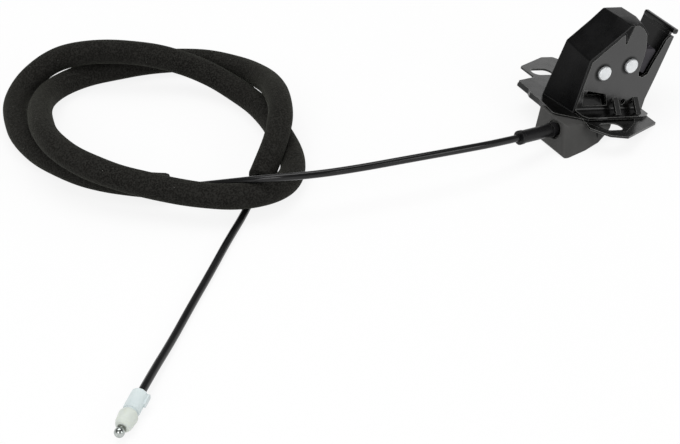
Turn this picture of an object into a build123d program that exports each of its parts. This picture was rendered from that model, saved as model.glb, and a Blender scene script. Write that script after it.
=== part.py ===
from build123d import *
from math import cos, radians, sin, tan
import os

os.makedirs("parts", exist_ok=True)

# Car door lock with its release cable, lying on a table as it comes to rest.
# All sizes are in millimetres. Z is up from the table and -Y is the front.

# The lock leans to its right, on its lower housing and on one edge of its base.
lean = 15.5
corner_x = -30.6
corner_y = -25.4
corner_z = 19.7
row_right = (cos(radians(lean)), 0, -sin(radians(lean)))
row_up = (sin(radians(lean)), 0, cos(radians(lean)))


def place(right, up, front):
    """The point of the table's frame at a place given in the lock's own directions."""
    x = corner_x + right * row_right[0] + up * row_up[0]
    y = corner_y - front
    z = corner_z + right * row_right[2] + up * row_up[2]
    return (x, y, z)


def facing(front):
    """A plane along the striker plate: x to the lock's right, y up, z to its front."""
    return Plane(origin=place(0, 0, front), x_dir=row_right, z_dir=(0, -1, 0))


def lying(up):
    """A plane along the base: x to the lock's right, y to its back, z up."""
    return Plane(origin=place(0, up, 0), x_dir=row_right, z_dir=row_up)


def across(right):
    """A plane across the lock: x to its back, y up, z to its right."""
    return Plane(origin=place(right, 0, 0), x_dir=(0, 1, 0), z_dir=row_right)


# Steel sheets
plate_thick = 2.0
base_thick = 1.5
base_top = -plate_thick
base_bottom = base_top - base_thick
plate_back = -plate_thick

# Striker mouth
plate_right = 61.8
mouth_left = 47.8
mouth_floor = 24.1

# Pivots, as places to the right and up, and the layers of the mechanism
pawl_pivot = (16.0, 28.2)
claw_pivot = (38.1, 33.5)
pivot_head = 5.2
pivot_shank = 4.0
lever_gap = 0.35
claw_front = -2.5
claw_thick = 6.0
claw_back = claw_front - claw_thick
lever_front = claw_back - 0.5
lever_thick = 2.0
lever_back = lever_front - lever_thick
rear_front = -16.0
rear_thick = 1.8
rear_back = rear_front - rear_thick

# Release lever, whose folded end takes the cable's nipple
push_pin = (25.4, 22.2)
nipple_right = 11.5
nipple_radius = 2.5
nipple_length = 7.0
tail_left = nipple_right - nipple_radius - lever_gap - 2.0
tail_foot = -12.4
hook_top = -6.5
hook_front = 5.0
slit_front = 3.6
slit_back = 0.2
slit_top = -7.4

# Rivet heads
head_front = 2.0

# Mechanism cover
cover_wall = 1.6
cover_back = -31.0
cover_corner = 2.4
cover_bevel = 1.3
mouth_wall = 46.4
cover_middle = -14.0
front_outline = [(-0.7, base_top), (0.6, 36.9), (23.4, 58.5), (27.6, 63.0), (36.2, 65.2), (45.0, 57.8)]
middle_outline = [(-2.7, base_top), (1.0, 37.9), (20.9, 57.0), (26.5, 63.6), (42.2, 64.4), (45.2, 61.0)]
back_outline = [(-5.2, base_top), (1.5, 39.3), (17.6, 54.9), (25.4, 63.4), (42.2, 63.9), (45.2, 61.0)]

# Cable
sheath_diameter = 5.0
wire_diameter = 1.6
foam_diameter = 17.0
foam_bore = 6.6
ferrule_face = (-17.5, -11.4, 5.0)
ferrule_run = (-0.986, -0.086, 0.143)
ferrule_length = 33.5
ferrule_seat = 4.0


def heading(right, up, front):
    """A direction of the lock, given in the table's frame."""
    x = right * row_right[0] + up * row_up[0]
    z = right * row_right[2] + up * row_up[2]
    return Vector(x, -front, z).normalized()


ferrule_way = heading(*ferrule_run)
ferrule_plane = Plane(origin=place(*ferrule_face), z_dir=ferrule_way)


def striker_plate_outline():
    """The striker plate seen from the front, with the mouth open to the top."""
    return [
        (0.9, -plate_thick), (0.9, 0), (3.0, 36.0), (24.7, 56.8), (28.2, 47.9), (30.9, 63.0), (34.4, 63.7),
        (39.2, 61.2), (44.2, 56.6), (47.4, 47.1), (48.0, 40.5), (mouth_left, mouth_floor + 3.6),
        (mouth_left + 1.1, mouth_floor + 1.2), (52.5, mouth_floor), (56.3, mouth_floor + 2.3), (58.5, 34.9),
        (61.9, 45.0), (63.7, 51.9), (66.2, 55.0), (69.6, 55.6), (64.6, 23.0), (plate_right, 7.4),
        (plate_right, -plate_thick),
    ]


def slot_at(right, back):
    """A fixing slot of the base, long to the right."""
    with Locations((right, back)):
        SlotOverall(slot_length, slot_width, mode=Mode.SUBTRACT)


# Base: a pressed sheet with two fixing slots, a recess round the front one and a turned-down left edge
slot_length = 18.0
slot_width = 10.0
front_slot = (18.5, -20.4)
back_slot = (19.0, 63.4)
base_right = 61.0
hem_drop = 2.5
base_outline = [
    (base_right, -8.5), (61.0, -18.4), (20.9, -36.8), (7.5, -33.6), (-2.4, -22.3), (1.6, -9.2),
    (-12.9, -1.3), (-16.8, 1.7), (-13.9, 21.3), (-13.9, 32.6), (-11.6, 37.5), (-11.3, 50.8),
    (6.8, 55.6), (6.7, 72.9), (36.0, 86.9), (46.6, 87.0), (base_right, 70.0),
]
well = (-0.5, 22.5, 3.0, 29.5)
recess_outline = [(-0.9, -11.5), (9.4, -28.4), (24.3, -29.6), (41.8, -17.4), (48.5, -9.0), (3.0, -9.0)]
recess_depth = 0.7
with BuildPart() as base_flange:
    with BuildSketch(lying(base_bottom)) as sheet:
        Polygon(*base_outline, align=None)
        fillet(sheet.vertices(), 1.8)
        with Locations(((well[0] + well[1]) / 2, (well[2] + well[3]) / 2)):
            RectangleRounded(well[1] - well[0], well[3] - well[2], 4, mode=Mode.SUBTRACT)
        slot_at(*front_slot)
        slot_at(*back_slot)
    extrude(amount=base_thick)
    with BuildSketch(lying(base_bottom - hem_drop)):
        Polygon((-14.7, 16.0), (-13.9, 21.3), (-13.9, 32.6), (-11.6, 37.5), (-11.3, 50.8), (-9.8, 50.4),
                (-10.1, 36.9), (-12.4, 32.0), (-12.4, 21.0), (-13.2, 16.0), align=None)
    extrude(amount=hem_drop)
    with BuildSketch(lying(base_top)) as recess:
        Polygon(*recess_outline, align=None)
        fillet(recess.vertices(), 2.0)
    extrude(amount=-recess_depth, mode=Mode.SUBTRACT)
base_flange.part.label = "base_flange"
export_step(base_flange.part, "parts/base_flange.step")

# Striker plate: front plate, foot, straps across the fold, side wall with its lip
window = [(3.2, 15.2), (24.0, 11.8), (28.0, 3.2), (6.0, 3.2)]
strap_height = 9.2
strap_reach = 8.6
strap_width = 4.2
straps = (33.8, 52.4)
foot_reach = 12.0
fold_radius = 1.3
wall_back = -33.0
lip_middle = (68.3, 59.5)

with BuildPart() as striker_plate:
    with BuildSketch(facing(0)) as front:
        Polygon(*striker_plate_outline(), align=None)
        fillet([v for v in front.vertices()], 0.6)
        Polygon(*window, align=None, mode=Mode.SUBTRACT)
        with Locations((41.7, 5.6)):
            Circle(2.1, mode=Mode.SUBTRACT)
        with Locations(pawl_pivot, claw_pivot):
            Circle(pivot_shank, mode=Mode.SUBTRACT)
    extrude(amount=-plate_thick)
    with BuildSketch(lying(-plate_thick)):
        Polygon((0.9, 2), (0.9, -8), (4, -foot_reach), (54, -foot_reach), (base_right, -8), (base_right, 2), align=None)
    extrude(amount=plate_thick)
    with BuildSketch(across(1.2)):
        Rectangle(fold_radius, fold_radius, align=(Align.MAX, Align.MIN))
        with Locations((-fold_radius, fold_radius)):
            Circle(fold_radius, mode=Mode.SUBTRACT)
        with Locations((0, -0.3)):
            Rectangle(0.3, fold_radius + 0.3, align=(Align.MIN, Align.MIN))
    extrude(amount=57.6)
    for right in straps:
        with BuildSketch(across(right - strap_width / 2)):
            Polygon((0.5, strap_height), (0, strap_height), (-strap_reach, 0), (-strap_reach, -0.5),
                    (0.5, -0.5), align=None)
            Polygon((0, 6.2), (-5.8, 0), (0, 0), align=None, mode=Mode.SUBTRACT)
        extrude(amount=strap_width)
    with BuildSketch(facing(0)):
        Polygon((plate_right, -plate_thick), (plate_right, 7.4), (64.6, 23.0), (69.2, 55.0), (67.1, 55.0),
                (62.5, 23.0), (plate_right - 2, 8.4), (plate_right - 2, -plate_thick), align=None)
    extrude(amount=wall_back)
    with BuildSketch(facing(-3.0)):
        Polygon((69.2, 54.8), (69.7, 58.5), (67.6, 58.5), (67.1, 54.8), align=None)
    extrude(amount=wall_back + 3.0)
    with BuildSketch(facing(1.2)):
        with Locations(lip_middle):
            RectangleRounded(4.0, 3.6, 1.2)
    extrude(amount=wall_back)
    with BuildSketch(across(6.5)):
        Polygon((0.3, 2.2), (6.0, 8.6), (7.2, 7.5), (2.0, 1.6), align=None)
    extrude(amount=18.0)
striker_plate.part.label = "striker_plate"
export_step(striker_plate.part, "parts/striker_plate.step")

# Rear plate of the mechanism, with the same mouth
with BuildPart() as rear_plate:
    with BuildSketch(facing(rear_front)) as rear:
        Polygon((2.5, 2.0), (3.2, 36.0), (20.6, 53.4), (28.6, 61.2), (36.0, 61.2), (43.2, 56.6),
                     (43.4, 20.8), (57.2, 20.8), (57.2, 2.0), align=None)
        fillet(rear.vertices(), 1.5)
        with Locations(pawl_pivot, claw_pivot):
            Circle(pivot_shank - 0.5, mode=Mode.SUBTRACT)
        with Locations((24, 8)):
            RectangleRounded(26, 6, 2.5, mode=Mode.SUBTRACT)
    extrude(amount=-rear_thick)
rear_plate.part.label = "rear_plate"
export_step(rear_plate.part, "parts/rear_plate.step")


def cover_section(sketch, outline, inset):
    """One end of the cover, drawn in by a wall, with its upper corners rounded."""
    Polygon(*outline, (mouth_wall, 50), (mouth_wall, 22.8), (59.6, 22.8), (59.2, base_top), align=None)
    if inset:
        offset(amount=-inset, kind=Kind.INTERSECTION, mode=Mode.REPLACE)
    upper = sketch.vertices().filter_by(lambda corner: corner.Y > 30 and corner.X < mouth_wall - inset - 0.5)
    fillet(upper, cover_corner - inset)


# Mechanism cover: a drafted moulded shell, open at the front and underneath
with BuildPart() as mechanism_cover:
    with BuildSketch(facing(0)) as outer_front:
        cover_section(outer_front, front_outline, 0)
    with BuildSketch(facing(cover_middle)) as outer_middle:
        cover_section(outer_middle, middle_outline, 0)
    with BuildSketch(facing(cover_back + cover_bevel)) as outer_back:
        cover_section(outer_back, back_outline, 0)
    loft(ruled=True)
    with BuildSketch(facing(cover_back + cover_bevel)) as bevel_front:
        cover_section(bevel_front, back_outline, 0)
    with BuildSketch(facing(cover_back)) as bevel_back:
        cover_section(bevel_back, back_outline, cover_bevel)
    loft(ruled=True)
    with BuildSketch(facing(0.5)) as inner_front:
        cover_section(inner_front, front_outline, cover_wall)
    with BuildSketch(facing(cover_middle)) as inner_middle:
        cover_section(inner_middle, middle_outline, cover_wall)
    with BuildSketch(facing(cover_back + cover_wall)) as inner_back:
        cover_section(inner_back, back_outline, cover_wall)
    loft(ruled=True, mode=Mode.SUBTRACT)
    with BuildSketch(lying(base_top - 1)):
        with Locations((28.0, 15.6)):
            Rectangle(56.0, 27.0)
    extrude(amount=4, mode=Mode.SUBTRACT)
    with BuildSketch(facing(1)):
        Polygon((43.0, 21.0), (43.0, 56.5), (70, 56.5), (70, 14), (56.0, 14), (56.0, 21.0), align=None)
    extrude(amount=lever_back - 1, mode=Mode.SUBTRACT)
    with BuildSketch(facing(0)):
        Polygon((22.8, 57.0), (25.6, 56.6), (28.3, 50.4), (30.6, 62.6), (31.0, 63.8), (27.6, 62.8), align=None)
    extrude(amount=-3.5)
    with BuildSketch(facing(1)):
        Polygon(*striker_plate_outline(), align=None)
        offset(amount=0.4, kind=Kind.INTERSECTION, mode=Mode.REPLACE)
    extrude(amount=plate_back - 1.2, mode=Mode.SUBTRACT)
mechanism_cover.part.label = "mechanism_cover"
export_step(mechanism_cover.part, "parts/mechanism_cover.step")


def polar(radius, angle):
    """A place at a radius and angle round the claw's pivot."""
    return (claw_pivot[0] + radius * cos(radians(angle)), claw_pivot[1] + radius * sin(radians(angle)))


# Claw: a fork that takes the striker, shown open
claw_reach = 20.0
claw_rim = 12.3
claw_slot = 10.4
slot_floor = 8.6
claw_open_angle = 61.0
horn_outline = [(9.4, -28), (18.0, -24), (18.0, -2), (19.3, 8), (21.0, 16), (23.3, 24), (22.8, 29), (16.9, 43)]
notch_outline = [(9.4, -42), (14.0, -43), (14.0, -26), (9.4, -28)]
slot_middle = (slot_floor + 34) / 2
with BuildPart() as claw:
    with BuildSketch(facing(claw_front)):
        with Locations(claw_pivot):
            Circle(claw_reach)
        Polygon(claw_pivot, *[polar(34, angle) for angle in (112, 180, 250, 320, 403)], align=None,
                mode=Mode.SUBTRACT)
        with Locations(claw_pivot):
            Circle(claw_rim)
        Polygon(*[polar(radius, angle) for radius, angle in notch_outline], align=None, mode=Mode.SUBTRACT)
        Polygon(claw_pivot, *[polar(radius, angle) for radius, angle in horn_outline], align=None)
        with Locations(polar(slot_middle, claw_open_angle)):
            SlotOverall(34 - slot_floor + claw_slot, claw_slot, rotation=claw_open_angle, mode=Mode.SUBTRACT)
        with Locations(claw_pivot):
            Circle(pivot_shank + 0.05, mode=Mode.SUBTRACT)
    extrude(amount=-claw_thick)
claw.part.label = "claw"
export_step(claw.part, "parts/claw.step")

# Pawl: its tooth rests on the claw's rim
with BuildPart() as pawl:
    with BuildSketch(facing(claw_front)):
        with Locations(pawl_pivot):
            Circle(7.0)
        Polygon((21.5, 22.9), (31.3, 20.0), (33.1, 19.9), (33.3, 21.8), (37.3, 20.7), (37.6, 16.4), (30.0, 15.6),
                (14.0, 21.9), align=None)
        with Locations(pawl_pivot):
            Circle(pivot_shank + 0.05, mode=Mode.SUBTRACT)
    extrude(amount=-claw_thick)
    with BuildSketch(facing(claw_back)):
        with Locations(push_pin):
            Circle(1.6)
    extrude(amount=lever_back - claw_back)
pawl.part.label = "pawl"
export_step(pawl.part, "parts/pawl.step")

# Release lever: its tail goes down through the base, and its folded end takes the cable
with BuildPart() as release_lever:
    with BuildSketch(facing(lever_front)):
        with Locations(pawl_pivot):
            Circle(6.5)
        Polygon((17.0, 33.5), (29.5, 28.0), (29.5, 24.2), (18.0, 24.2), align=None)
        Polygon((11.8, 24.0), (tail_left, -3.0), (tail_left, tail_foot), (tail_left + 4.2, tail_foot),
                (tail_left + 5.0, -3.0), (20.0, 22.5), align=None)
        with Locations(pawl_pivot):
            Circle(pivot_shank + 0.05, mode=Mode.SUBTRACT)
    extrude(amount=-lever_thick)
    with BuildSketch(facing(lever_back)):
        Polygon((tail_left, tail_foot), (tail_left + 2, tail_foot), (tail_left + 2, hook_top),
                (tail_left, hook_top), align=None)
    extrude(amount=hook_front - lever_back)
    with BuildSketch(across(tail_left - 1)):
        Polygon((-slit_front, tail_foot - 1), (-slit_front, slit_top), (-slit_back, slit_top),
                (-slit_back, tail_foot - 1), align=None)
    extrude(amount=4, mode=Mode.SUBTRACT)
release_lever.part.label = "release_lever"
export_step(release_lever.part, "parts/release_lever.step")


# Rivets that the claw and the pawl turn on, with bright heads at the front
rivet_tail = rear_back - 2.0
for name, pivot in (("pawl_rivet", pawl_pivot), ("claw_rivet", claw_pivot)):
    with BuildPart() as rivet:
        with BuildSketch(facing(head_front)):
            with Locations(pivot):
                Circle(pivot_head)
        extrude(amount=-head_front)
        chamfer(rivet.edges().group_by(Axis.Y)[0], 0.5)
        with BuildSketch(facing(0)):
            with Locations(pivot):
                Circle(pivot_shank)
        extrude(amount=rear_front)
        with BuildSketch(facing(rear_front)):
            with Locations(pivot):
                Circle(pivot_shank - 0.5)
        extrude(amount=-rear_thick)
        with BuildSketch(facing(rear_back)):
            with Locations(pivot):
                Circle(pivot_head)
        extrude(amount=-2.0)
        fillet(rivet.edges().group_by(Axis.Y)[-1], 1.0)
    rivet.part.label = name
    export_step(rivet.part, "parts/" + name + ".step")


# Torsion springs of the claw and of the pawl, round their rivets
springs = (
    ("claw_spring", claw_pivot, claw_back - 0.8, 5.8, 1.4, 2.75, 12.0, 9.0),
    ("pawl_spring", pawl_pivot, lever_back - 0.3, 5.8, 1.2, 2.0, 9.0, 8.0),
)
for name, pivot, front, radius, wire, turns, first_leg, last_leg in springs:
    pitch = wire + 0.35
    with BuildPart() as spring:
        with BuildLine() as coil:
            Helix(pitch=pitch, height=turns * pitch, radius=radius,
                  center=place(pivot[0], pivot[1], front - wire / 2), direction=(0, 1, 0))
        start = coil.line @ 0
        start_way = coil.line % 0
        end = coil.line @ 1
        end_way = coil.line % 1
        with BuildSketch(Plane(origin=start, z_dir=start_way)):
            Circle(wire / 2)
        sweep(is_frenet=True)
        with BuildSketch(Plane(origin=start, z_dir=start_way)):
            Circle(wire / 2)
        extrude(amount=-first_leg)
        with BuildSketch(Plane(origin=end, z_dir=end_way)):
            Circle(wire / 2)
        extrude(amount=last_leg)
    spring.part.label = name
    export_step(spring.part, "parts/" + name + ".step")

# Rubber buffer on the mouth's floor, behind the claw
with BuildPart() as striker_buffer:
    with BuildSketch(facing(rear_back - 0.3)):
        Polygon((mouth_wall + 0.4, 22.8), (58.8, 22.8), (58.8, 30.0), (56.6, 29.0), (54.6, 26.4), (51.6, 25.6),
                (49.0, 26.6), (48.2, 29.2), (mouth_wall + 0.4, 30.0), align=None)
    extrude(amount=cover_back - rear_back + 1.5)
striker_buffer.part.label = "striker_buffer"
export_step(striker_buffer.part, "parts/striker_buffer.step")

# Lower housing: a moulded tub under the base, open at the top
housing_left = -17.5
housing_profile = [
    (housing_left, base_bottom), (housing_left, -23.8), (-16.3, -24.96), (-12.6, -23.94), (1.0, -19.9), (12.1, -15.2),
    (19.6, -9.0), (24.0, base_bottom),
]
housing_side = [(14.5, base_bottom), (13.0, -26.0), (-23.5, -26.0), (-15.0, base_bottom)]
housing_wall = 1.8
housing_corner = 4.5
socket_radius = 6.6
socket_depth = 2.4


def upright(edge):
    """Whether an edge runs from the housing's top to its floor."""
    rise = Vector(*row_up).dot(edge @ 1 - edge @ 0)
    return abs(rise) > 15


def level(edge):
    """Whether an edge runs along the housing's top."""
    return abs((edge.center() - Vector(*place(0, base_bottom, 0))).dot(Vector(*row_up))) < 0.01


def housing_form(inset):
    """The housing's outer form, or its hollow when drawn in by a wall."""
    with BuildPart() as form:
        with BuildSketch(facing(30)):
            Polygon(*housing_profile, align=None)
            if inset:
                offset(amount=-inset, kind=Kind.INTERSECTION, mode=Mode.REPLACE)
        extrude(amount=-60)
        with BuildSketch(across(-30)):
            Polygon(*housing_side, align=None)
            if inset:
                offset(amount=-inset, kind=Kind.INTERSECTION, mode=Mode.REPLACE)
        extrude(amount=70, mode=Mode.INTERSECT)
    return form


housing_outside = housing_form(0)
housing_hollow = housing_form(housing_wall)
with BuildPart() as housing_cavity:
    add(housing_hollow.part)
    with BuildSketch(ferrule_plane.offset(-socket_depth - housing_wall)):
        Circle(socket_radius + housing_wall)
    extrude(amount=10, mode=Mode.SUBTRACT)

with BuildPart() as lower_housing:
    add(housing_outside.part)
    front_left = lower_housing.edges().filter_by(upright).sort_by(Axis.Y)[:1]
    front_top = lower_housing.edges().filter_by(level).group_by(Axis.Y)[0].sort_by(Axis.Z)[-1:]
    fillet(front_left + front_top, housing_corner)
    add(housing_cavity.part, mode=Mode.SUBTRACT)
    with BuildSketch(lying(base_bottom - 3)):
        with Locations((8.5, 3.7)):
            RectangleRounded(27.0, 18.6, 2.0)
    extrude(amount=4, mode=Mode.SUBTRACT)
    for depth, radius in ((socket_depth, socket_radius), (10.0, ferrule_seat + 0.1)):
        with BuildSketch(ferrule_plane.offset(3)):
            Circle(radius)
        extrude(amount=-3 - depth, mode=Mode.SUBTRACT)
lower_housing.part.label = "lower_housing"
export_step(lower_housing.part, "parts/lower_housing.step")


def along(distance):
    """A plane across the ferrule, at a distance outward from the housing's face."""
    origin = Vector(*place(*ferrule_face)) + ferrule_way * distance
    return Plane(origin=origin, z_dir=ferrule_way)


# Ferrule of the cable, moulded round the sheath's end and seated in the housing
sheath_radius = sheath_diameter / 2
sheath_depth = 12.0
with BuildPart() as cable_ferrule:
    with BuildSketch(along(-3.0)):
        Circle(ferrule_seat)
    extrude(amount=ferrule_length + 2.0)
    for start, length, radius in ((0.3, 4.2, 5.2), (5.8, ferrule_length - 8.6, 4.5), (ferrule_length - 2.8, 2.8, 4.9)):
        with BuildSketch(along(start)):
            Circle(radius)
        extrude(amount=length)
    with BuildSketch(along(ferrule_length - sheath_depth)):
        Circle(sheath_radius)
    extrude(amount=sheath_depth + 1, mode=Mode.SUBTRACT)
    with BuildSketch(along(-4.0)):
        Circle(1.2)
    extrude(amount=ferrule_length, mode=Mode.SUBTRACT)
cable_ferrule.part.label = "cable_ferrule"
export_step(cable_ferrule.part, "parts/cable_ferrule.step")

# Inner wire at the lock, and the barrel nipple cast on its end
nipple_run = (nipple_right - ferrule_face[0]) / -ferrule_run[0]
nipple_place = (
    nipple_right, ferrule_face[1] - ferrule_run[1] * nipple_run, ferrule_face[2] - ferrule_run[2] * nipple_run,
)
wire_radius = wire_diameter / 2
with BuildPart() as wire_nipple:
    with BuildSketch(facing(nipple_place[2] + nipple_length / 2)):
        with Locations(nipple_place[:2]):
            Circle(nipple_radius)
    extrude(amount=-nipple_length)
    chamfer(wire_nipple.edges().group_by(Axis.Y)[0] + wire_nipple.edges().group_by(Axis.Y)[-1], 0.4)
    with BuildSketch(along(-nipple_run)):
        Circle(wire_radius)
    extrude(amount=nipple_radius * 2, mode=Mode.SUBTRACT)
wire_nipple.part.label = "wire_nipple"
export_step(wire_nipple.part, "parts/wire_nipple.step")

with BuildPart() as latch_wire:
    with BuildSketch(along(-nipple_run)):
        Circle(wire_radius)
    extrude(amount=nipple_run + 2.0)
latch_wire.part.label = "latch_wire"
export_step(latch_wire.part, "parts/latch_wire.step")

# End fitting of the cable, at a place where its body begins and lying on the table
fitting_place = Vector(-409.6, -134.6, 6.0)
fitting_way = Vector(-1, -1, 0).normalized()
fitting_sheath = 8.0


def fitting_point(distance):
    """A point on the fitting's axis, at a distance outward from its body's rear face."""
    point = fitting_place + fitting_way * distance
    return (point.X, point.Y, point.Z)


# Route of the cable's middle line, from inside the ferrule to inside the end fitting
ferrule_start = along(ferrule_length - sheath_depth).origin
ferrule_lead = along(ferrule_length + 16).origin
span_points = [
    tuple(ferrule_start), tuple(ferrule_lead), (-134, -37, 26), (-168, -31, 27), (-202, -23, 27),
    (-231, -13, 28), (-256, 3, 26), (-277, 23, 17), (-296, 41, 9),
]
loop_points = [
    (-320, 58, 8.5), (-342, 82, 8.5), (-358, 112, 8.5), (-364, 145, 8.5), (-362, 177, 8.5), (-351, 203, 8.5),
    (-334, 219, 13), (-313, 220, 21), (-293, 206, 27), (-271, 189, 28.5), (-247, 174, 25), (-223, 155, 16),
    (-209, 128, 8.5), (-206, 96, 8.5), (-211, 65, 8.5), (-217, 35, 8.5), (-231, 10, 9.5), (-255, -5, 13.5),
    (-281, 1, 16.5), (-302, 16, 18), (-322, 35, 20), (-341, 56, 24), (-356, 81, 28), (-360, 111, 28),
    (-353, 142, 24), (-341, 173, 15), (-323, 197, 9), (-297, 206, 8.5), (-264, 203, 8.5), (-233, 193, 8.5),
    (-208, 174, 8.5), (-194, 147, 11), (-192, 116, 18), (-200, 87, 26), (-211, 62, 28), (-224, 45, 24),
    (-238, 32, 17),
]
tail_points = [
    (-254, 18, 8), (-272, 0, 2.8), (-296, -22, 2.6), (-320, -46, 2.6), (-346, -71, 2.6), (-371, -96, 2.8),
    fitting_point(-16), fitting_point(fitting_sheath),
]


def corner_radii(points):
    """The bend radius at each inner point of a route, its arcs nearly meeting on the runs."""
    radii = []
    for before, corner, after in zip(points, points[1:], points[2:]):
        run_in = Vector(*corner) - Vector(*before)
        run_out = Vector(*after) - Vector(*corner)
        half_turn = run_in.get_angle(run_out) / 2
        radii.append(0.45 * min(run_in.length, run_out.length) / tan(radians(half_turn)))
    return radii


def midpoint(first, second):
    """The point halfway between two others."""
    return tuple((Vector(*first) + Vector(*second)) * 0.5)


# Sheath: it enters the ferrule at one end and the end fitting at the other
cable_route = span_points + loop_points + tail_points
cable_radii = corner_radii(cable_route)
with BuildPart() as cable_sheath:
    with BuildLine() as sheath_path:
        FilletPolyline(*cable_route, radius=cable_radii)
    with BuildSketch(Plane(origin=sheath_path.line @ 0, z_dir=sheath_path.line % 0)):
        Circle(sheath_radius)
    sweep()
cable_sheath.part.label = "cable_sheath"
export_step(cable_sheath.part, "parts/cable_sheath.step")

# Foam sleeve over the two loops, cut square at both ends
sleeve_start = midpoint(span_points[-1], loop_points[0])
sleeve_end = midpoint(loop_points[-1], tail_points[0])
sleeve_route = [sleeve_start] + loop_points + [sleeve_end]
first_radius = len(span_points) - 1
sleeve_radii = cable_radii[first_radius:first_radius + len(loop_points)]
with BuildPart() as foam_sleeve:
    with BuildLine() as sleeve_path:
        FilletPolyline(*sleeve_route, radius=sleeve_radii)
    with BuildSketch(Plane(origin=sleeve_path.line @ 0, z_dir=sleeve_path.line % 0)):
        Circle(foam_diameter / 2)
        Circle(foam_bore / 2, mode=Mode.SUBTRACT)
    sweep()
foam_sleeve.part.label = "foam_sleeve"
export_step(foam_sleeve.part, "parts/foam_sleeve.step")

print("cable radii", [round(radius) for radius in cable_radii])
sheath_length = sum(edge.length for edge in sheath_path.edges())
sleeve_length = sum(edge.length for edge in sleeve_path.edges())
sheath_volume = 3.1416 * sheath_radius ** 2 * sheath_length
sleeve_volume = 3.1416 * (foam_diameter ** 2 - foam_bore ** 2) / 4 * sleeve_length
print("sheath", round(sheath_length), "mm, volume ratio", cable_sheath.part.volume / sheath_volume)
print("sleeve", round(sleeve_length), "mm, volume ratio", foam_sleeve.part.volume / sleeve_volume)

# End fitting: body with a groove and a side rib, nose with a flange, seal, inner wire and ball
fitting_side = Plane(origin=fitting_point(0), x_dir=fitting_way, z_dir=(-1, 1, 0))
fitting_axis = Axis(origin=fitting_point(0), direction=fitting_way)
wire_bore = 1.2
body_end = 17.4
nose_end = 29.6
seal_end = 30.1
with BuildPart() as fitting_body:
    with BuildSketch(fitting_side):
        Polygon((0, sheath_radius), (0, 4.5), (0.3, 4.9), (0.8, 5.2), (13.6, 5.2), (14.0, 4.9), (15.8, 4.9),
                (16.0, 4.3), (body_end, 4.3), (body_end, wire_bore), (fitting_sheath, wire_bore),
                (fitting_sheath, sheath_radius), align=None)
    revolve(axis=fitting_axis)
    with BuildSketch(fitting_side.offset(-4.5)):
        RectangleRounded(9.0, 3.2, 0.8, align=(Align.MIN, Align.CENTER))
    extrude(amount=-1.7)
fitting_body.part.label = "fitting_body"
export_step(fitting_body.part, "parts/fitting_body.step")

with BuildPart() as fitting_nose:
    with BuildSketch(fitting_side):
        Polygon((body_end, wire_bore), (body_end, 4.9), (18.6, 5.5), (19.2, 5.8), (20.4, 5.8), (25.6, 5.3),
                (27.6, 4.8), (28.9, 4.1), (nose_end, 3.2), (nose_end, wire_bore), align=None)
    revolve(axis=fitting_axis)
fitting_nose.part.label = "fitting_nose"
export_step(fitting_nose.part, "parts/fitting_nose.step")

with BuildPart() as nose_seal:
    with BuildSketch(fitting_side):
        Polygon((nose_end, wire_bore), (nose_end, 2.6), (seal_end, 2.6), (seal_end, wire_bore), align=None)
    revolve(axis=fitting_axis)
nose_seal.part.label = "nose_seal"
export_step(nose_seal.part, "parts/nose_seal.step")

ball_radius = 3.1
ball_centre = seal_end + 0.4 + ball_radius
wire_end = ball_centre - 1.0
with BuildPart() as end_wire:
    with BuildSketch(Plane(origin=fitting_point(fitting_sheath + 0.6), z_dir=fitting_way)):
        Circle(wire_radius)
    extrude(amount=wire_end - fitting_sheath - 0.6)
end_wire.part.label = "end_wire"
export_step(end_wire.part, "parts/end_wire.step")

with BuildPart() as ball_end:
    with Locations(fitting_point(ball_centre)):
        Sphere(ball_radius)
    with BuildSketch(Plane(origin=fitting_point(seal_end + 0.3), z_dir=fitting_way)):
        Circle(2.0)
    extrude(amount=2.5)
    with BuildSketch(Plane(origin=fitting_point(seal_end), z_dir=fitting_way)):
        Circle(wire_radius)
    extrude(amount=wire_end - seal_end, mode=Mode.SUBTRACT)
ball_end.part.label = "ball_end"
export_step(ball_end.part, "parts/ball_end.step")
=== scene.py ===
import math
import bpy
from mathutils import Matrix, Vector


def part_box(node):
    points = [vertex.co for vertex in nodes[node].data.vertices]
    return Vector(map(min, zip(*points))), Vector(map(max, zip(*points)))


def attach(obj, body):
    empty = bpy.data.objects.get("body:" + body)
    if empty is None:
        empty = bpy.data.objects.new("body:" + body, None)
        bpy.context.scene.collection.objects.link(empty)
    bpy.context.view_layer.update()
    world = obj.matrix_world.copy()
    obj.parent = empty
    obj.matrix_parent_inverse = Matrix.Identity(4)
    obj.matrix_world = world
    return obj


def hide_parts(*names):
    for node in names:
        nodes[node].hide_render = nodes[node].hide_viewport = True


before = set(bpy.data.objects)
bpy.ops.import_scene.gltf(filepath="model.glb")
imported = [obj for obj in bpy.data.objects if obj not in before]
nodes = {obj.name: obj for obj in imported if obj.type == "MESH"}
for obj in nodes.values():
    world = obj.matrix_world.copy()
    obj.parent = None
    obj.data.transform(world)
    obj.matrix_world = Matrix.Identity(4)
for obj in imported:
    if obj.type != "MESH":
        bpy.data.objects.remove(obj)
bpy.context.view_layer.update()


def link(obj):
    bpy.context.scene.collection.objects.link(obj)
    return obj


def aim(obj, way):
    """Turns a camera or lamp to look along a direction."""
    obj.rotation_euler = way.to_track_quat("-Z", "Y").to_euler()


# Camera: 35 degrees above the table, from the front left of the lock. Lengths are in metres, lenses in mm.

CAMERA_PLACE = (-0.7245, -0.9064, 0.7035)
CAMERA_WAY = (0.4096, 0.7094, -0.5736)
CAMERA_LENS = 100.6
SENSOR_WIDTH = 36


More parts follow.
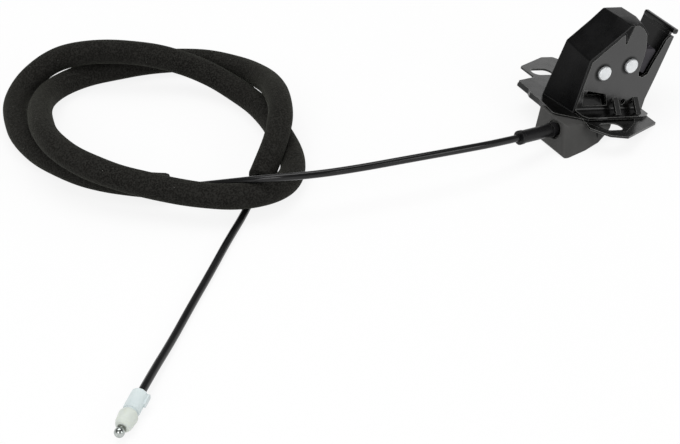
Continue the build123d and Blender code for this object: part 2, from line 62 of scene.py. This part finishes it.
def add_camera():
    data = bpy.data.cameras.new("photo_camera")
    data.sensor_width = SENSOR_WIDTH
    data.sensor_fit = "HORIZONTAL"
    data.lens = CAMERA_LENS
    data.clip_start = 0.05
    data.clip_end = 20
    camera = link(bpy.data.objects.new("photo_camera", data))
    camera.location = CAMERA_PLACE
    aim(camera, Vector(CAMERA_WAY))
    bpy.context.scene.camera = camera


add_camera()

# Route of the cable's middle line. It repeats the route in the part's source, with some points moved
# by a few millimetres, so that the smooth curve lies as the cable in the photo does.

ROUTE = [
    # the span from the ferrule to the loops
    (-0.0714, -0.0335, 0.0173), (-0.0987, -0.0375, 0.0223), (-0.133, -0.036, 0.026),
    (-0.168, -0.030, 0.027), (-0.202, -0.023, 0.027), (-0.232, -0.017, 0.0285),
    (-0.259, -0.005, 0.028), (-0.279, 0.016, 0.019), (-0.297, 0.038, 0.009),
    # the first turn, in the sleeve
    (-0.321, 0.056, 0.0085), (-0.344, 0.079, 0.0085), (-0.360, 0.110, 0.0085), (-0.366, 0.144, 0.0085),
    (-0.360, 0.176, 0.0085), (-0.349, 0.199, 0.0085), (-0.333, 0.212, 0.013), (-0.313, 0.214, 0.0215),
    (-0.294, 0.203, 0.0275), (-0.271, 0.189, 0.0285), (-0.247, 0.174, 0.025), (-0.223, 0.155, 0.016),
    (-0.209, 0.128, 0.0085), (-0.206, 0.096, 0.0085), (-0.211, 0.065, 0.0085), (-0.217, 0.035, 0.0085),
    (-0.231, 0.011, 0.0095), (-0.254, -0.002, 0.0135), (-0.281, 0.002, 0.0165), (-0.302, 0.016, 0.018),
    # the second turn, over and beside the first
    (-0.322, 0.035, 0.020), (-0.342, 0.054, 0.024), (-0.358, 0.079, 0.028), (-0.362, 0.111, 0.028),
    (-0.354, 0.142, 0.024), (-0.341, 0.173, 0.015), (-0.323, 0.196, 0.009), (-0.298, 0.204, 0.0085),
    (-0.265, 0.201, 0.0085), (-0.233, 0.193, 0.0085), (-0.207, 0.176, 0.0085), (-0.193, 0.148, 0.011),
    (-0.193, 0.116, 0.019), (-0.201, 0.087, 0.0265), (-0.211, 0.062, 0.0285), (-0.223, 0.045, 0.024),
    (-0.237, 0.031, 0.017),
    # the tail on the table, and up into the end fitting
    (-0.254, 0.017, 0.008), (-0.272, 0.0, 0.0028), (-0.296, -0.022, 0.0026), (-0.320, -0.046, 0.0026),
    (-0.346, -0.071, 0.0026), (-0.371, -0.096, 0.0028), (-0.3983, -0.1233, 0.0060),
    (-0.4153, -0.1403, 0.0060),
]
SLEEVE_FROM = (-0.3045, 0.0450, 0.0088)
SLEEVE_TO = (-0.2500, 0.0190, 0.0103)
SHEATH_RADIUS = 0.0025
FOAM_RADIUS = 0.0085
FOAM_BORE = 0.0045
FOAM_CORNER = 0.0005
FOAM_UNEVEN = 0.00011
FOAM_SIDES = 56


def add_route(name, radius):
    """A smooth tube along the route, or with no radius its middle line.

    The points carry the radius and the bevel is 1, because a curve's box counts its points' radius.
    """
    data = bpy.data.curves.new(name, "CURVE")
    data.dimensions = "3D"
    data.resolution_u = 14
    data.bevel_depth = 1.0 if radius else 0.0
    data.bevel_resolution = 8
    data.use_fill_caps = True
    spline = data.splines.new("NURBS")
    spline.points.add(len(ROUTE) - 1)
    for point, place in zip(spline.points, ROUTE):
        point.co = (*place, 1)
        point.radius = radius
    spline.order_u = 3
    spline.use_endpoint_u = True
    spline.use_smooth = True
    return link(bpy.data.objects.new(name, data))


def middle_points():
    """The points of the route's smooth line, read from a curve with no radius."""
    line = add_route("route_line", 0.0)
    bpy.context.view_layer.update()
    mesh = bpy.data.meshes.new_from_object(line)
    points = [vertex.co.copy() for vertex in mesh.vertices]
    bpy.data.objects.remove(line)
    return points


def nearest(points, place):
    """The number of the point that is nearest to a place."""
    target = Vector(place)
    return min(range(len(points)), key=lambda index: (points[index] - target).length)


def wobble(angle, distance):
    """The foam's small unevenness round and along the sleeve, about -2 to 2."""
    return (math.sin(3 * angle + distance * 41) * math.sin(distance * 83 + angle)
            + 0.6 * math.sin(2 * angle - distance * 117) + 0.5 * math.sin(distance * 190 + 2.1))


def stations(points):
    """Each point of a line with two directions across it and the length run so far."""
    places = []
    run = 0.0
    up = Vector((0, 0, 1))
    last = len(points) - 1
    for index, point in enumerate(points):
        before = points[max(index - 1, 0)]
        after = points[min(index + 1, last)]
        way = (after - before).normalized()
        up = (up - way * up.dot(way)).normalized()
        if index:
            run += (point - before).length
        places.append((point, up.copy(), way.cross(up), run))
    return places


def add_sleeve(points):
    """The foam tube round part of the route, with square-cut ends and an open bore."""
    places = stations(points)
    verts = []
    faces = []

    def add_ring(place, radius, uneven=0.0):
        point, up, side, run = place
        first = len(verts)
        for step in range(FOAM_SIDES):
            angle = 2 * math.pi * step / FOAM_SIDES
            reach = radius + uneven * wobble(angle, run)
            verts.append(point + up * (math.cos(angle) * reach) + side * (math.sin(angle) * reach))
        return first

    # from inside the bore, round the first end, along the outside, and back into the bore
    rings = [add_ring(places[index], FOAM_BORE) for index in (5, 3, 1, 0)]
    rings.append(add_ring(places[0], FOAM_RADIUS - FOAM_CORNER, FOAM_UNEVEN))
    rings += [add_ring(place, FOAM_RADIUS, FOAM_UNEVEN) for place in places[1:-1]]
    rings.append(add_ring(places[-1], FOAM_RADIUS - FOAM_CORNER, FOAM_UNEVEN))
    rings += [add_ring(places[index], FOAM_BORE) for index in (-1, -2, -4, -6)]
    for first, second in zip(rings, rings[1:]):
        for step in range(FOAM_SIDES):
            following = (step + 1) % FOAM_SIDES
            faces.append((second + step, second + following, first + following, first + step))
    mesh = bpy.data.meshes.new("foam_cover")
    mesh.from_pydata([tuple(vert) for vert in verts], [], faces)
    mesh.update()
    for polygon in mesh.polygons:
        polygon.use_smooth = True
    return link(bpy.data.objects.new("foam_cover", mesh))


line_points = middle_points()
cable = add_route("release_cable", SHEATH_RADIUS)
foam = add_sleeve(line_points[nearest(line_points, SLEEVE_FROM):nearest(line_points, SLEEVE_TO) + 1])

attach(cable, "lock")
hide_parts("cable_sheath")
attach(foam, "lock")
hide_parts("foam_sleeve")


# Materials. Patterns are fixed to the object, and their scales are in features per metre.

def new_material(name, color, roughness, metallic=0.0):
    material = bpy.data.materials.new(name)
    material.use_nodes = True
    shader = material.node_tree.nodes["Principled BSDF"]
    shader.inputs["Base Color"].default_value = (*color, 1)
    shader.inputs["Roughness"].default_value = roughness
    shader.inputs["Metallic"].default_value = metallic
    return material, material.node_tree, shader


def grey(value):
    return (value, value, value)


def noise(tree, scale, detail, rough=0.5):
    """A cloudy pattern."""
    texture = tree.nodes.new("ShaderNodeTexNoise")
    texture.inputs["Scale"].default_value = scale
    texture.inputs["Detail"].default_value = detail
    texture.inputs["Roughness"].default_value = rough
    coordinates = tree.nodes.new("ShaderNodeTexCoord")
    tree.links.new(coordinates.outputs["Object"], texture.inputs["Vector"])
    return texture


def spots(tree, scale):
    """A pattern of cells, as their distance from the nearest centre."""
    texture = tree.nodes.new("ShaderNodeTexVoronoi")
    texture.inputs["Scale"].default_value = scale
    coordinates = tree.nodes.new("ShaderNodeTexCoord")
    tree.links.new(coordinates.outputs["Object"], texture.inputs["Vector"])
    return texture.outputs["Distance"]


def spread(tree, texture, low, high, low_place=0.35, high_place=0.65):
    """A ramp from one colour to another over a cloudy pattern."""
    ramp = tree.nodes.new("ShaderNodeValToRGB")
    ramp.color_ramp.elements[0].position = low_place
    ramp.color_ramp.elements[0].color = (*low, 1)
    ramp.color_ramp.elements[1].position = high_place
    ramp.color_ramp.elements[1].color = (*high, 1)
    tree.links.new(texture.outputs["Fac"], ramp.inputs["Fac"])
    return ramp.outputs["Color"]


def fade(tree, value, none, full):
    """0 where the value is at none, 1 where it is at full, and smooth between."""
    change = tree.nodes.new("ShaderNodeMapRange")
    change.interpolation_type = "SMOOTHSTEP"
    change.inputs["From Min"].default_value = none
    change.inputs["From Max"].default_value = full
    tree.links.new(value, change.inputs["Value"])
    return change.outputs["Result"]


def over(tree, mask, below, color):
    """One colour laid over another where the mask is 1."""
    mix = tree.nodes.new("ShaderNodeMix")
    mix.data_type = "RGBA"
    tree.links.new(mask, mix.inputs["Factor"])
    tree.links.new(below, mix.inputs["A"])
    mix.inputs["B"].default_value = (*color, 1)
    return mix.outputs["Result"]


def rounded(tree, radius, samples):
    """The surface's normal with its edges rounded."""
    bevel = tree.nodes.new("ShaderNodeBevel")
    bevel.samples = samples
    bevel.inputs["Radius"].default_value = radius
    return bevel.outputs["Normal"]


def bump(tree, height, depth, strength, normal=None):
    """The normal of a pattern pressed into the surface, on top of another normal."""
    node = tree.nodes.new("ShaderNodeBump")
    node.inputs["Strength"].default_value = strength
    node.inputs["Distance"].default_value = depth
    tree.links.new(height, node.inputs["Height"])
    if normal:
        tree.links.new(normal, node.inputs["Normal"])
    return node.outputs["Normal"]


def own_normal_dot(tree, kind):
    """A dot product with one of the surface's own normals. Its second input is free."""
    dot = tree.nodes.new("ShaderNodeVectorMath")
    dot.operation = "DOT_PRODUCT"
    geometry = tree.nodes.new("ShaderNodeNewGeometry")
    tree.links.new(geometry.outputs[kind], dot.inputs[0])
    return dot


def near_place(tree, centre, reach):
    """A mask that is 1 round a place on the object and fades to 0 at its reach."""
    coordinates = tree.nodes.new("ShaderNodeTexCoord")
    mapping = tree.nodes.new("ShaderNodeMapping")
    mapping.vector_type = "TEXTURE"
    mapping.inputs["Location"].default_value = centre
    mapping.inputs["Scale"].default_value = reach
    tree.links.new(coordinates.outputs["Object"], mapping.inputs["Vector"])
    length = tree.nodes.new("ShaderNodeVectorMath")
    length.operation = "LENGTH"
    tree.links.new(mapping.outputs["Vector"], length.inputs[0])
    return fade(tree, length.outputs["Value"], 1.0, 0.7)


def painted_edge_highlight(tree, radius):
    """A mask of the edges for a painted highlight, where the rounded normal leaves the face's own."""
    dot = own_normal_dot(tree, "Normal")
    tree.links.new(rounded(tree, radius, 8), dot.inputs[1])
    return fade(tree, dot.outputs["Value"], 0.998, 0.93)


def facing_way(tree, way):
    """A mask of the faces that look one way."""
    dot = own_normal_dot(tree, "True Normal")
    dot.inputs[1].default_value = way
    return fade(tree, dot.outputs["Value"], 0.90, 0.97)


# The colour of painted shade on faces and places, and the share of gloss that the shaded faces keep

PAINTED_SHADE = (0.002, 0.002, 0.002)
PAINTED_SHADE_GLOSS = 0.2


def finish_surface(name, dark, light, rough, clouds, grain, metallic=0.0, edge=0.0003, shine=0.5,
                   index=1.5, edge_highlight=None, shade_zones=(), shaded_way=None, soft=None):
    """A coat or moulding whose colour and gloss vary slowly, with a fine grain and rounded edges.

    rough gives the lowest and highest roughness, and clouds the scale of the slow changes.
    grain lists bumps by scale, depth and strength.
    edge_highlight gives the width and colour of a painted highlight along the edges.
    shade_zones lists places of painted shade by centre, reach, colour and the share of gloss that is left.
    shaded_way is the direction of faces that get painted shade, and soft how deep light enters.
    """
    material, tree, shader = new_material(name, light, rough[1], metallic)
    shader.inputs["Specular IOR Level"].default_value = shine
    shader.inputs["IOR"].default_value = index
    color = spread(tree, noise(tree, clouds, 4, 0.6), dark, light)
    # Painted shade: the zones and the faces that look one way get a darker colour and less gloss.
    masks = [(near_place(tree, centre, reach), shade, gloss) for centre, reach, shade, gloss in shade_zones]
    if shaded_way:
        masks.append((facing_way(tree, shaded_way), PAINTED_SHADE, PAINTED_SHADE_GLOSS))
    if masks:
        tint = tree.nodes.new("ShaderNodeRGB").outputs["Color"]
        tint.default_value = (1, 1, 1, 1)
        for mask, shade, gloss in masks:
            color = over(tree, mask, color, shade)
            tint = over(tree, mask, tint, grey(gloss))
        tree.links.new(tint, shader.inputs["Specular Tint"])
    # Painted highlight: a paler colour along the edges.
    if edge_highlight:
        width, highlight_color = edge_highlight
        color = over(tree, painted_edge_highlight(tree, width), color, highlight_color)
    tree.links.new(color, shader.inputs["Base Color"])
    roughness = spread(tree, noise(tree, clouds * 3, 5, 0.6), grey(rough[0]), grey(rough[1]))
    tree.links.new(roughness, shader.inputs["Roughness"])
    normal = rounded(tree, edge, 6) if edge else None
    for scale, depth, strength in grain:
        normal = bump(tree, noise(tree, scale, 2).outputs["Fac"], depth, strength, normal)
    tree.links.new(normal, shader.inputs["Normal"])
    if soft:
        shader.inputs["Subsurface Weight"].default_value = 0.25
        shader.inputs["Subsurface Radius"].default_value = soft
    return material


# The black coat of the sheets, with a painted highlight along their edges. The front plate has
# painted shade round its rivet heads, at its lip, at the left end of its foot and on the edges that face
# left. The base has painted shade at its left end.

COAT_DARK = (0.0012, 0.0012, 0.0012)
COAT_LIGHT = (0.0045, 0.0044, 0.0042)
COAT_GRAIN = [(900, 0.00004, 0.2), (4200, 0.00001, 0.2)]
# The width and colour of the painted highlight along the sheets' edges.
COAT_EDGE_HIGHLIGHT = (0.0006, (0.12, 0.12, 0.115))
# Faces of the front plate that look this way get painted shade.
LOCK_LEFT = (-0.9636, 0, 0.2672)


def rivet_shade_ring(name):
    """A ring of painted shade round a rivet's head, a little to its upper left."""
    low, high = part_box(name)
    centre = ((low.x + high.x) / 2 - 0.0012, low.y + 0.0015, (low.z + high.z) / 2 + 0.0006)
    return centre, (0.0078, 0.004, 0.0078), PAINTED_SHADE, 0.12


# Painted shade round the rivet heads, at the lip and at the left end of the foot.
PLATE_SHADE_ZONES = [
    rivet_shade_ring("pawl_rivet"),
    rivet_shade_ring("claw_rivet"),
    ((0.0505, -0.0090, 0.0605), (0.006, 0.028, 0.004), PAINTED_SHADE, 0.35),
    ((-0.0245, -0.0340, 0.0180), (0.011, 0.009, 0.004), PAINTED_SHADE, 0.15),
]
# Painted shade at the base's left end.
BASE_SHADE_ZONES = [((-0.0370, 0.0140, 0.0190), (0.013, 0.020, 0.006), PAINTED_SHADE, 0.45)]

coat = finish_surface("black_coat", COAT_DARK, COAT_LIGHT, (0.15, 0.26), 45, COAT_GRAIN, index=1.74,
                      edge_highlight=COAT_EDGE_HIGHLIGHT, shade_zones=PLATE_SHADE_ZONES, shaded_way=LOCK_LEFT)
base_coat = finish_surface("base_coat", COAT_DARK, COAT_LIGHT, (0.17, 0.28), 45, COAT_GRAIN, index=1.46,
                           edge_highlight=COAT_EDGE_HIGHLIGHT, shade_zones=BASE_SHADE_ZONES)

# Mouldings. The cover, housing and ferrule have a painted highlight along their edges, and the housing
# has a short streak of painted shade below the base's slot.

HOUSING_SHADE_STREAK = [((-0.0229, -0.0404, 0.0064), (0.0014, 0.004, 0.0045), (0.012, 0.012, 0.012), 0.3)]

cover_black = finish_surface(
    "cover_plastic", (0.0018, 0.0018, 0.0019), (0.0052, 0.0052, 0.0054), (0.20, 0.34), 30,
    [(5200, 0.000010, 0.25)], edge=0.0012, shine=0.085, edge_highlight=(0.0014, (0.042, 0.042, 0.042)))
housing_black = finish_surface(
    "housing_plastic", (0.046, 0.046, 0.044), (0.062, 0.061, 0.059), (0.40, 0.55), 35,
    [(3800, 0.000015, 0.35)], edge=0.0009, shine=0.2, edge_highlight=(0.0008, (0.085, 0.085, 0.082)),
    shade_zones=HOUSING_SHADE_STREAK)
ferrule_black = finish_surface(
    "ferrule_plastic", (0.0035, 0.0033, 0.0038), (0.0075, 0.0072, 0.0078), (0.26, 0.38), 60,
    [(3800, 0.00001, 0.35)], edge=0.0004, shine=0.22, edge_highlight=(0.0004, (0.03, 0.03, 0.03)))
sheath = finish_surface(
    "sheath_plastic", (0.004, 0.004, 0.0042), (0.008, 0.008, 0.0084), (0.12, 0.20), 60,
    [(700, 0.00003, 0.25)], edge=0.0, shine=0.36)
rubber = finish_surface(
    "black_rubber", (0.010, 0.010, 0.010), (0.017, 0.017, 0.017), (0.6, 0.75), 80,
    [(3000, 0.00002, 0.5)], shine=0.2)
seal_grey = finish_surface(
    "seal_grey", (0.19, 0.205, 0.18), (0.28, 0.30, 0.265), (0.5, 0.65), 200,
    [(3000, 0.00002, 0.4)], edge=0.0, shine=0.3)
white = finish_surface(
    "fitting_white", (0.58, 0.65, 0.66), (0.65, 0.72, 0.72), (0.35, 0.45), 70,
    [(1800, 0.00002, 0.2)], edge=0.0004, shine=0.3, soft=(0.002, 0.002, 0.002))
nose = finish_surface(
    "nose_white", (0.58, 0.62, 0.57), (0.66, 0.70, 0.65), (0.32, 0.42), 70,
    [(1800, 0.00002, 0.2)], edge=0.0004, shine=0.3, soft=(0.002, 0.002, 0.0015))

# Metals

zinc = finish_surface(
    "zinc_plate", (0.74, 0.76, 0.77), (0.83, 0.85, 0.86), (0.34, 0.46), 160,
    [(1500, 0.00002, 0.3)], metallic=0.65)
ball_metal = finish_surface(
    "ball_metal", (0.35, 0.38, 0.365), (0.58, 0.61, 0.59), (0.14, 0.25), 420,
    [(1500, 0.00001, 0.2)], metallic=1.0, edge=0.0)
claw_coat = finish_surface(
    "claw_coat", (0.026, 0.024, 0.029), (0.040, 0.037, 0.044), (0.38, 0.5), 60,
    [(1300, 0.00003, 0.35)], metallic=0.2, shine=0.3)
lever_steel = finish_surface(
    "lever_steel", (0.30, 0.30, 0.30), (0.42, 0.42, 0.41), (0.35, 0.5), 80,
    [(1800, 0.00002, 0.3)], metallic=0.9)
spring_steel = finish_surface(
    "spring_steel", (0.18, 0.18, 0.18), (0.27, 0.27, 0.27), (0.3, 0.42), 90,
    [(2500, 0.00001, 0.3)], metallic=0.9, edge=0.0)
wire_steel = finish_surface(
    "wire_steel", (0.40, 0.40, 0.41), (0.55, 0.55, 0.55), (0.25, 0.38), 400,
    [(3000, 0.00002, 0.4)], metallic=1.0, edge=0.0)


def foam_material():
    """Fine-celled foam: dark, rough and slightly fuzzy at its outline, with a few pale specks."""
    material, tree, shader = new_material("foam", (0.010, 0.010, 0.009), 0.95)
    cells = spots(tree, 900)
    specks = spots(tree, 150)
    patches = noise(tree, 110, 5, 0.65)
    color = spread(tree, patches, (0.0052, 0.0049, 0.0043), (0.0110, 0.0106, 0.0092), 0.3, 0.7)
    color = over(tree, fade(tree, cells, 0.30, 0.75), color, (0.020, 0.0195, 0.0175))
    color = over(tree, fade(tree, specks, 0.045, 0.02), color, (0.16, 0.16, 0.15))
    tree.links.new(color, shader.inputs["Base Color"])
    shader.inputs["Specular IOR Level"].default_value = 0.08
    shader.inputs["Sheen Weight"].default_value = 0.10
    shader.inputs["Sheen Roughness"].default_value = 0.4
    shader.inputs["Sheen Tint"].default_value = (0.5, 0.52, 0.42, 1)
    broad = bump(tree, patches.outputs["Fac"], 0.0006, 0.5)
    tree.links.new(bump(tree, cells, 0.0004, 0.8, broad), shader.inputs["Normal"])
    return material


foam.data.materials.append(foam_material())
cable.data.materials.append(sheath)

FINISHES = {
    "base_flange": base_coat, "striker_plate": coat, "rear_plate": coat, "mechanism_cover": cover_black,
    "claw": claw_coat, "pawl": lever_steel, "release_lever": lever_steel, "pawl_rivet": zinc,
    "claw_rivet": zinc, "claw_spring": spring_steel, "pawl_spring": spring_steel,
    "striker_buffer": rubber, "lower_housing": housing_black, "cable_ferrule": ferrule_black,
    "wire_nipple": zinc, "latch_wire": wire_steel, "fitting_body": white, "fitting_nose": nose,
    "nose_seal": seal_grey, "end_wire": wire_steel, "ball_end": ball_metal,
}
for name, material in FINISHES.items():
    node = nodes[name]
    if not node.data.materials:
        node.data.materials.append(material)
    for place in node.material_slots:
        place.material = material


# Floor, backdrop and light

FLOOR_HALF = 6.0
FLOOR_DROP = 0.0002
FLOOR_SHADE = 0.86
FLOOR_GLOW = 0.86
SOFT_LIGHT = 0.55
HORIZON = 0.06
CEILING = 0.52
CEILING_SHADE = 0.18


def seen_directly(tree):
    """1 for what the camera, a reflection or a clear piece shows, and 0 for the light that falls."""
    paths = tree.nodes.new("ShaderNodeLightPath")
    value = paths.outputs["Is Camera Ray"]
    for kind in ("Is Glossy Ray", "Is Transmission Ray"):
        either = tree.nodes.new("ShaderNodeMath")
        either.operation = "MAXIMUM"
        tree.links.new(value, either.inputs[0])
        tree.links.new(paths.outputs[kind], either.inputs[1])
        value = either.outputs[0]
    return value


def mix_shaders(tree, share, first, second, target):
    mix = tree.nodes.new("ShaderNodeMixShader")
    tree.links.new(share, mix.inputs["Fac"])
    tree.links.new(first.outputs[0], mix.inputs[1])
    tree.links.new(second.outputs[0], mix.inputs[2])
    tree.links.new(mix.outputs[0], target.inputs["Surface"])


def add_floor():
    """A white floor that keeps the object's shadow: partly glow, and partly lit."""
    mesh = bpy.data.meshes.new("floor")
    corners = [(-FLOOR_HALF, -FLOOR_HALF, 0), (FLOOR_HALF, -FLOOR_HALF, 0),
               (FLOOR_HALF, FLOOR_HALF, 0), (-FLOOR_HALF, FLOOR_HALF, 0)]
    mesh.from_pydata(corners, [], [(0, 1, 2, 3)])
    floor = link(bpy.data.objects.new("floor", mesh))
    floor.location.z = -FLOOR_DROP
    material, tree, shader = new_material("pale_floor", grey(FLOOR_SHADE), 0.9)
    shader.inputs["Specular IOR Level"].default_value = 0.0
    share = tree.nodes.new("ShaderNodeMath")
    share.operation = "MULTIPLY"
    share.inputs[1].default_value = FLOOR_GLOW
    tree.links.new(seen_directly(tree), share.inputs[0])
    glow = tree.nodes.new("ShaderNodeEmission")
    glow.inputs["Color"].default_value = (1, 1, 1, 1)
    glow.inputs["Strength"].default_value = 1.0
    mix_shaders(tree, share.outputs[0], shader, glow, tree.nodes["Material Output"])
    mesh.materials.append(material)


def add_world():
    """A white backdrop as high as the surfaces reflect, under a dimmer ceiling."""
    world = bpy.data.worlds.new("studio")
    bpy.context.scene.world = world
    world.use_nodes = True
    tree = world.node_tree
    tree.nodes.clear()
    soft = tree.nodes.new("ShaderNodeBackground")
    soft.inputs["Color"].default_value = (1, 1, 1, 1)
    soft.inputs["Strength"].default_value = SOFT_LIGHT
    direction = tree.nodes.new("ShaderNodeTexCoord")
    parts = tree.nodes.new("ShaderNodeSeparateXYZ")
    tree.links.new(direction.outputs["Generated"], parts.inputs["Vector"])
    height = tree.nodes.new("ShaderNodeMapRange")
    height.interpolation_type = "SMOOTHSTEP"
    height.inputs["From Min"].default_value = HORIZON
    height.inputs["From Max"].default_value = CEILING
    height.inputs["To Min"].default_value = 1.0
    height.inputs["To Max"].default_value = CEILING_SHADE
    tree.links.new(parts.outputs["Z"], height.inputs["Value"])
    backdrop = tree.nodes.new("ShaderNodeBackground")
    tree.links.new(height.outputs["Result"], backdrop.inputs["Color"])
    mix_shaders(tree, seen_directly(tree), soft, backdrop, tree.nodes.new("ShaderNodeOutputWorld"))


def add_softbox(name, place, target, size, power):
    data = bpy.data.lights.new(name, "AREA")
    data.shape = "RECTANGLE"
    data.size, data.size_y = size
    data.energy = power
    light = link(bpy.data.objects.new(name, data))
    light.location = place
    aim(light, Vector(target) - Vector(place))


add_floor()
add_world()
add_softbox("top_box", (-0.2, 0.35, 1.5), (-0.15, 0.0, 0.0), (1.4, 0.9), 11)
add_softbox("left_box", (-1.3, -0.9, 1.0), (-0.15, 0.0, 0.0), (0.8, 0.8), 7)
add_softbox("front_box", (0.5, -1.5, 0.9), (-0.1, 0.0, 0.0), (0.9, 0.7), 6)

bpy.context.scene.view_settings.view_transform = "Standard"
